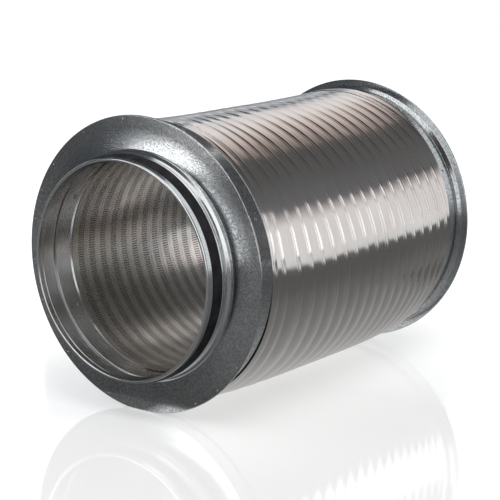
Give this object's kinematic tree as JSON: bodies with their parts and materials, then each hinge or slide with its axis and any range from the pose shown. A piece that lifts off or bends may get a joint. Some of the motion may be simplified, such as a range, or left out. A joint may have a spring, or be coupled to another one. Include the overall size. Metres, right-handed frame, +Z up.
{
  "type": "duct sound attenuator",
  "caption": "Round duct silencer: spirally ribbed aluminium casing between hemmed steel end plates, with sealed plug-in spigots and a perforated inner pipe.",
  "frame": {"origin": "on the duct axis, half way between the two end plates", "axes": "+Y along the duct axis from the front end to the rear end, +Z up when the duct runs level"},
  "size_m": [0.4149, 0.62, 0.415],
  "materials": {
    "galvanised_steel": "galvanised, satin",
    "rubber": "matte",
    "jacket_aluminium": "mill finish",
    "pipe_aluminium": "mill finish, perforated",
    "rivet_aluminium": "satin",
    "fleece": "matte",
    "mineral_wool": "matte"
  },
  "bodies": {
    "root": {"front_end_plate": "galvanised_steel", "rear_end_plate": "galvanised_steel", "front_collar": "galvanised_steel", "rear_collar": "galvanised_steel", "front_spigot": "galvanised_steel", "rear_spigot": "galvanised_steel", "front_seal": "rubber", "rear_seal": "rubber", "outer_jacket": "jacket_aluminium", "inner_pipe": "pipe_aluminium", "front_pipe_rivets": "rivet_aluminium", "rear_pipe_rivets": "rivet_aluminium", "wool_liner": "fleece", "wool_sleeve": "mineral_wool"}
  },
  "joints": []
}
